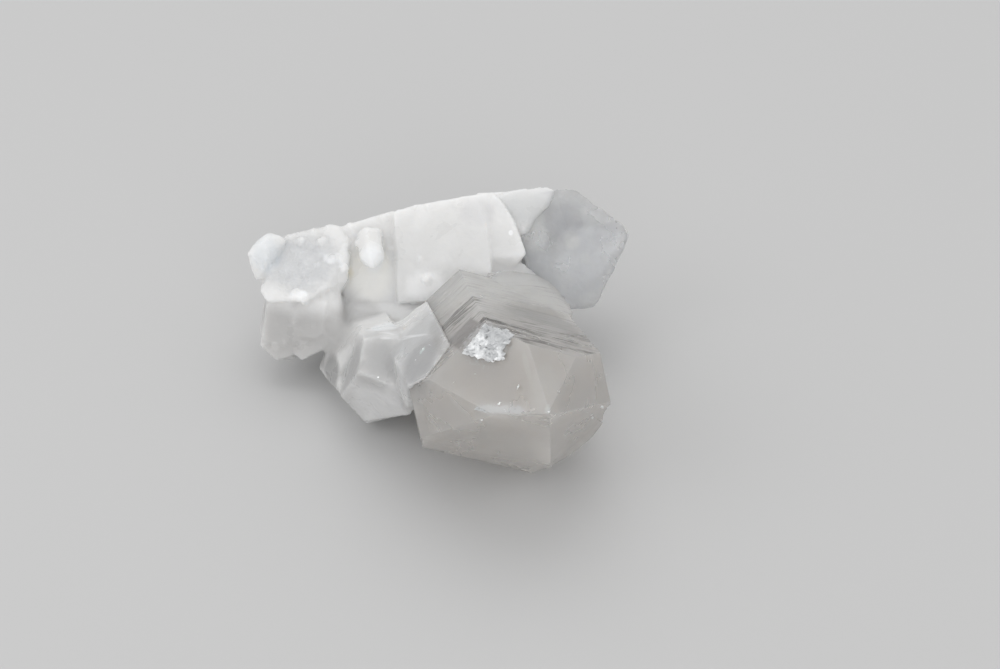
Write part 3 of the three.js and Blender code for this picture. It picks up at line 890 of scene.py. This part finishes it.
softSpots = [  # where one form runs softly into the next: place, reach in mm
    ((-20.8, 13.0, 13.0), 3.2), ((-23.0, 12.5, 9.5), 2.5), ((-21.5, 17.5, 17.0), 2.8),
    ((-17.5, 13.5, 15.0), 3.5), ((-31.3, 14.5, 12.0), 2.5), ((-31.3, 16.0, 17.0), 2.2),
    ((-12.5, 10.0, 17.5), 3.0), ((-6.0, 11.5, 18.0), 3.0), ((-20.0, 7.5, 13.5), 3.0),
    ((-21.5, 9.0, 10.5), 2.6), ((-17.0, 8.0, 17.0), 3.0), ((-8.9, -6.5, 19.5), 3.0),
    ((-7.5, -10.5, 18.5), 3.0), ((-21.0, 18.5, 19.5), 2.6), ((-20.5, 17.0, 15.5), 2.8),
    ((-8.0, -4.5, 20.5), 2.8), ((-7.0, -11.5, 19.5), 2.6), ((-9.0, 3.0, 21.0), 2.5),
    ((-7.0, -9.0, 15.0), 2.6), ((-8.8, 6.5, 19.5), 2.5), ((-8.3, -2.0, 22.2), 2.4),
    ((-16.2, 3.0, 19.0), 1.6), ((-16.8, 0.5, 17.5), 1.6), ((-17.8, 0.0, 15.0), 1.6),
    ((-18.9, -0.5, 12.4), 1.6), ((-12.2, -6.7, 19.9), 1.6), ((-14.9, -6.2, 19.9), 1.5),
    ((-9.5, -7.5, 19.6), 1.8),
]
weather(root, **weathering["root"], soft=softSpots)
flattenFoot(root)
settle(root, [quartz("milkyQuartz", milkyLook)])

# broken corner, bruised ridge and grit

brokenFace = (frontCrystal, "tip", 5)
shard = [  # corners of a flat splinter, about 1 mm long
    (0, 0, 0), (0.9, 0.15, 0.04), (0.6, 0.7, 0.0), (0.1, 0.55, 0.05), (0.45, 0.35, 0.12), (0.5, 0.3, -0.1),
]


def scatterShards(name, spots):
    # one shard, drawn at the frame's origin and copied to each spot: place, size in mm, tilt in turns
    first = wrapCorners(name, [Vector(corner) - offset for corner in shard])
    pieces = []
    for place, size, turns in spots:
        pickOnly(first)
        bpy.ops.object.duplicate()
        copy = bpy.context.object
        shape = Matrix.Rotation(turns[0] * fullTurn, 4, "Z") @ Matrix.Rotation(turns[1] * fullTurn, 4, "X")
        copy.data.transform(Matrix.Translation(place) @ shape @ Matrix.Scale(size, 4))
        pieces.append(copy)
    bpy.data.objects.remove(first)
    return joinAll(pieces, name)


def drawPatch(name, outline, lift, rough, grain, jag, thickness=0.12):
    # a crumbly skin on the broken face: an outline filled, divided finely, roughened and given a thickness
    outward = facet(*brokenFace)[1]
    places = [onFacet(*brokenFace, *corner)[0] + outward * lift * mm for corner in outline]
    piece = startAt(name, places[0])
    drawChain(places)
    bpy.ops.mesh.edge_face_add()
    bpy.ops.mesh.poke()
    bpy.ops.mesh.subdivide(number_cuts=8)
    bpy.ops.transform.vertex_random(offset=jag * mm, seed=3)
    bpy.ops.mesh.subdivide(number_cuts=2)
    bpy.ops.mesh.normals_make_consistent(inside=False)
    bpy.ops.object.mode_set(mode="OBJECT")
    if piece.data.polygons[0].normal.dot(outward) < 0:
        bpy.ops.object.mode_set(mode="EDIT")
        bpy.ops.mesh.flip_normals()
        bpy.ops.object.mode_set(mode="OBJECT")
    crumbly = bpy.data.textures.new(name + "Crumbs", "CLOUDS")
    crumbly.noise_scale = grain * mm
    crumbly.noise_depth = 4
    finishWith(piece, "DISPLACE", texture=crumbly, texture_coords="LOCAL", strength=rough * mm, mid_level=0.5)
    finishWith(piece, "SOLIDIFY", thickness=thickness * mm, offset=-1.0)
    return piece


flakeLook = {
    "clear": (0.52, 0.53, 0.54, 1), "cloudy": (0.92, 0.93, 0.94, 1), "haze": 1.0, "hazeScale": 500.0,
    "gloss": 0.25, "frosted": 0.5, "clarity": 0.0, "glow": 0.0, "grain": 0.12, "grainScale": 2200.0,
    "marks": {
        "clearer top": (onFront("tip", 5, -13.2, 13.4, 5, 5.4, 2.9), 0.8, (0.5, 0.51, 0.52, 1), 1.6, 900.0),
        "clear vein": (onFront("tip", 5, -15.6, 11.0, 60, 3.0, 0.5), 0.6, (0.5, 0.51, 0.52, 1), 1.0, 900.0),
    },
    "specks": (600.0, 0.2, 0.2),
}
flakeQuartz = quartz("flakeQuartz", flakeLook)
skins = {  # an outline on the broken face, in mm to the right and up its slope, and how it is made
    "fractureSkin": {
        "outline": [
            (-17.0, 13.9), (-10.4, 15.0), (-10.6, 11.3), (-9.1, 9.8), (-11.7, 8.0), (-18.1, 7.0),
            (-18.0, 8.7),
        ],
        "lift": 0.22, "rough": 0.8, "grain": 0.6, "jag": 0.4,
    },
    "fracturePlate": {
        "outline": [(-12.6, 14.4), (-10.4, 15.0), (-10.6, 11.3), (-12.6, 9.4), (-14.2, 11.6)],
        "lift": 0.08, "rough": 0.35, "grain": 2.0, "jag": 0.1,
    },
    "ridgeBruise": {
        "outline": [
            (-9.2, -1.5), (-5.8, -0.3), (-3.0, 1.1), (-0.2, 2.2), (0.4, 3.6), (-3.4, 3.3), (-6.5, 1.8),
            (-9.6, 0.2),
        ],
        "lift": -0.18, "rough": 0.5, "grain": 1.0, "jag": 0.2,
    },
}
for name, shape in skins.items():
    settle(drawPatch(name, **shape), [flakeQuartz])

fracture = {  # how many flakes, their size in mm, their tilt in turns, and where on the face they lie
    "flakes": 40, "size": (0.7, 2.2), "tilt": 0.06,
    "crowded": ((-15.5, 8.6), (-14.2, 10.4), (-12.0, 11.5), (-12.6, 13.2)), "spread": (1.2, 1.0),
    "right": (-18.0, -9.6), "up": (7.4, 14.8),
}
dice = random.Random(7)
flakes = []
while len(flakes) < fracture["flakes"]:
    aim = dice.choice(fracture["crowded"])
    a, b = (middle + dice.gauss(0, spread) for middle, spread in zip(aim, fracture["spread"]))
    if fracture["right"][0] < a < fracture["right"][1] and fracture["up"][0] < b < fracture["up"][1]:
        place = onFacet(*brokenFace, a, b)[0]
        size = dice.uniform(*fracture["size"])
        flakes.append((place, size, (dice.random(), dice.uniform(-fracture["tilt"], fracture["tilt"]))))
settle(scatterShards("fractureFlakes", flakes), [flakeQuartz])

grit = {  # face, right, up, size in mm
    "centre": ("tip", 5, -3.7, 6.5, 1.4), "left": ("tip", 5, -16.4, 1.2, 0.6),
    "leftHigh": ("tip", 5, -13.0, 4.7, 0.5), "narrow": ("tip", 0, 5.5, 1.0, 0.8),
    "corner": ("tip", 0, 0.5, -1.6, 0.8), "chipA": ("tip", 1, 16.3, -5.7, 0.9),
    "chipB": ("tip", 1, 13.2, -5.1, 0.9), "chipC": ("tip", 1, 21.9, -1.9, 0.6),
    "under": ("tip", 2, 18.4, -5.9, 0.7), "foot": ("tip", 3, -0.9, -26.0, 0.8),
    "ridge": ("tip", 4, -7.4, 1.2, 0.7),
}
gritTilt = 0.2
saddleGrit = {  # place, size in mm, tilt in turns
    "low": ((-2.6, -11.6, 28.0), 0.7, (0.1, 0.1)), "high": ((-0.8, -12.0, 29.6), 0.7, (0.4, 0.1)),
}
spots = []
for kind, i, a, b, size in grit.values():
    place = onFacet(frontCrystal, kind, i, a, b)[0]
    spots.append((place, size, (dice.random(), dice.uniform(-gritTilt, gritTilt))))
for place, size, turns in saddleGrit.values():
    spots.append((inFrame(place), size, turns))
settle(scatterShards("brightGrit", spots), [flakeQuartz])

# floor and light

ground = {"width": 6, "top": -0.0002, "colour": grey(0.55), "roughness": 0.8}
bpy.ops.mesh.primitive_plane_add(size=ground["width"], location=(0, 0, ground["top"]))
floor = bpy.context.object
floor.name = "floor"
paleFloor = bpy.data.materials.new("paleFloor")
paleFloor.use_nodes = True
paleFloor.node_tree.nodes["Principled BSDF"].inputs["Base Color"].default_value = ground["colour"]
paleFloor.node_tree.nodes["Principled BSDF"].inputs["Roughness"].default_value = ground["roughness"]
floor.data.materials.append(paleFloor)

lights = {  # in metres and watts
    "overhead": {"place": (0.0, 0.35, 0.8), "aim": (0, 0, 0), "size": 0.8, "power": 1.8},
    "left": {"place": (-0.6, -0.25, 0.45), "aim": (0, 0, 0.02), "size": 0.5, "power": 0.7},
    "front": {"place": (0.1, -0.95, 0.24), "aim": (0, 0, 0.02), "size": 0.9, "power": 3.5},
}
for name, lamp in lights.items():
    bpy.ops.object.light_add(type="AREA", location=lamp["place"])
    light = bpy.context.object
    light.name = name
    light.data.size = lamp["size"]
    light.data.energy = lamp["power"]
    light.rotation_euler = (Vector(lamp["aim"]) - Vector(lamp["place"])).to_track_quat("-Z", "Y").to_euler()

skyStrength = 0.75
world = bpy.data.worlds.new("studio")
bpy.context.scene.world = world
world.use_nodes = True
world.node_tree.nodes["Background"].inputs["Color"].default_value = grey(1)
world.node_tree.nodes["Background"].inputs["Strength"].default_value = skyStrength
bpy.context.scene.view_settings.view_transform = "Standard"
print("stage set")
